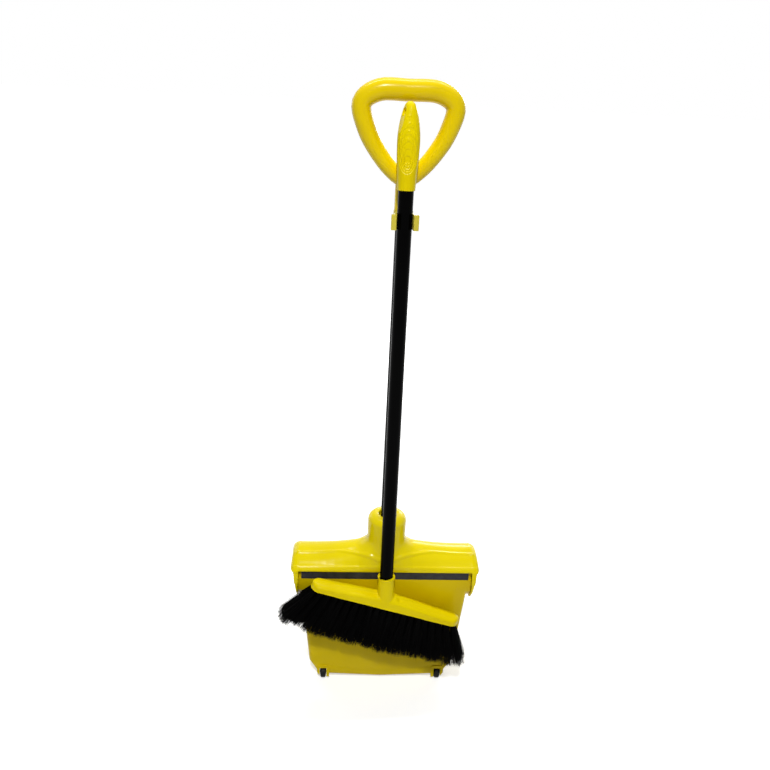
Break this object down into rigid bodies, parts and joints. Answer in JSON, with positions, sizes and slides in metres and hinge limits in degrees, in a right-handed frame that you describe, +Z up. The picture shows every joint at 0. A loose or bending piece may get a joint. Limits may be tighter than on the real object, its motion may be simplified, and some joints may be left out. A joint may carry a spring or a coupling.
{
  "type": "dust pan and brush set",
  "caption": "Upright dust pan that closes under a rolled hood on a tall tube with a loop grip, with a long-handled slanted brush held in a clip on the tube.",
  "frame": {"origin": "middle of the rear foot's resting face, on the floor", "axes": "+Z up along the pan's tube, -Y towards the front where the brush hangs, +X to the right seen from the front"},
  "size_m": [0.3459, 0.1461, 1.0208],
  "materials": {
    "hood_yellow": "satin-gloss moulded polypropylene",
    "bucket_yellow": "satin moulded polypropylene",
    "grip_yellow": "glossy moulded polypropylene",
    "brush_yellow": "satin moulded polypropylene",
    "tube_black": "gloss black powder coat on steel tube",
    "wheel_black": "black moulded plastic",
    "pin_black": "black moulded plastic",
    "lip_rubber": "dark grey extruded rubber",
    "bristle_black": "loose black polyester filament",
    "steel": "bright zinc plate"
  },
  "bodies": {
    "handle": {"loop_grip": "grip_yellow", "loop_grip_screw": "steel", "pan_tube": "tube_black", "brush_clip": "hood_yellow", "clip_screw": "steel", "hood": "hood_yellow", "neck_screw": "steel", "hinge_pin_left": "pin_black", "hinge_pin_right": "pin_black", "pin_washer_left": "steel", "pin_washer_right": "steel"},
    "bucket": {"bucket": "bucket_yellow", "lip_strip": "lip_rubber", "axle_left": "steel", "axle_right": "steel"},
    "wheel_left": {"wheel_left": "wheel_black"},
    "wheel_right": {"wheel_right": "wheel_black"},
    "brush": {"brush_grip": "brush_yellow", "brush_tube": "tube_black", "brush_ferrule": "pin_black", "brush_head": "brush_yellow", "bristles_front": "bristle_black", "bristles_middle": "bristle_black", "bristles_rear": "bristle_black", "tuft_anchors": "steel"}
  },
  "joints": [
    {"name": "pan_hinge", "type": "hinge", "parent": "handle", "child": "bucket", "pos_m": [0, -0.05241, 0.216], "axis": [1, 0, 0], "range_deg": [0, 91]},
    {"name": "wheel_left_spin", "type": "hinge", "parent": "bucket", "child": "wheel_left", "pos_m": [-0.104, -0.08, 0.0105], "axis": [1, 0, 0], "continuous": true},
    {"name": "wheel_right_spin", "type": "hinge", "parent": "bucket", "child": "wheel_right", "pos_m": [0.104, -0.08, 0.0105], "axis": [1, 0, 0], "continuous": true},
    {"name": "brush_release", "type": "slide", "parent": "handle", "child": "brush", "axis": [0, -1, 0], "range_m": [0, 0.15]}
  ]
}
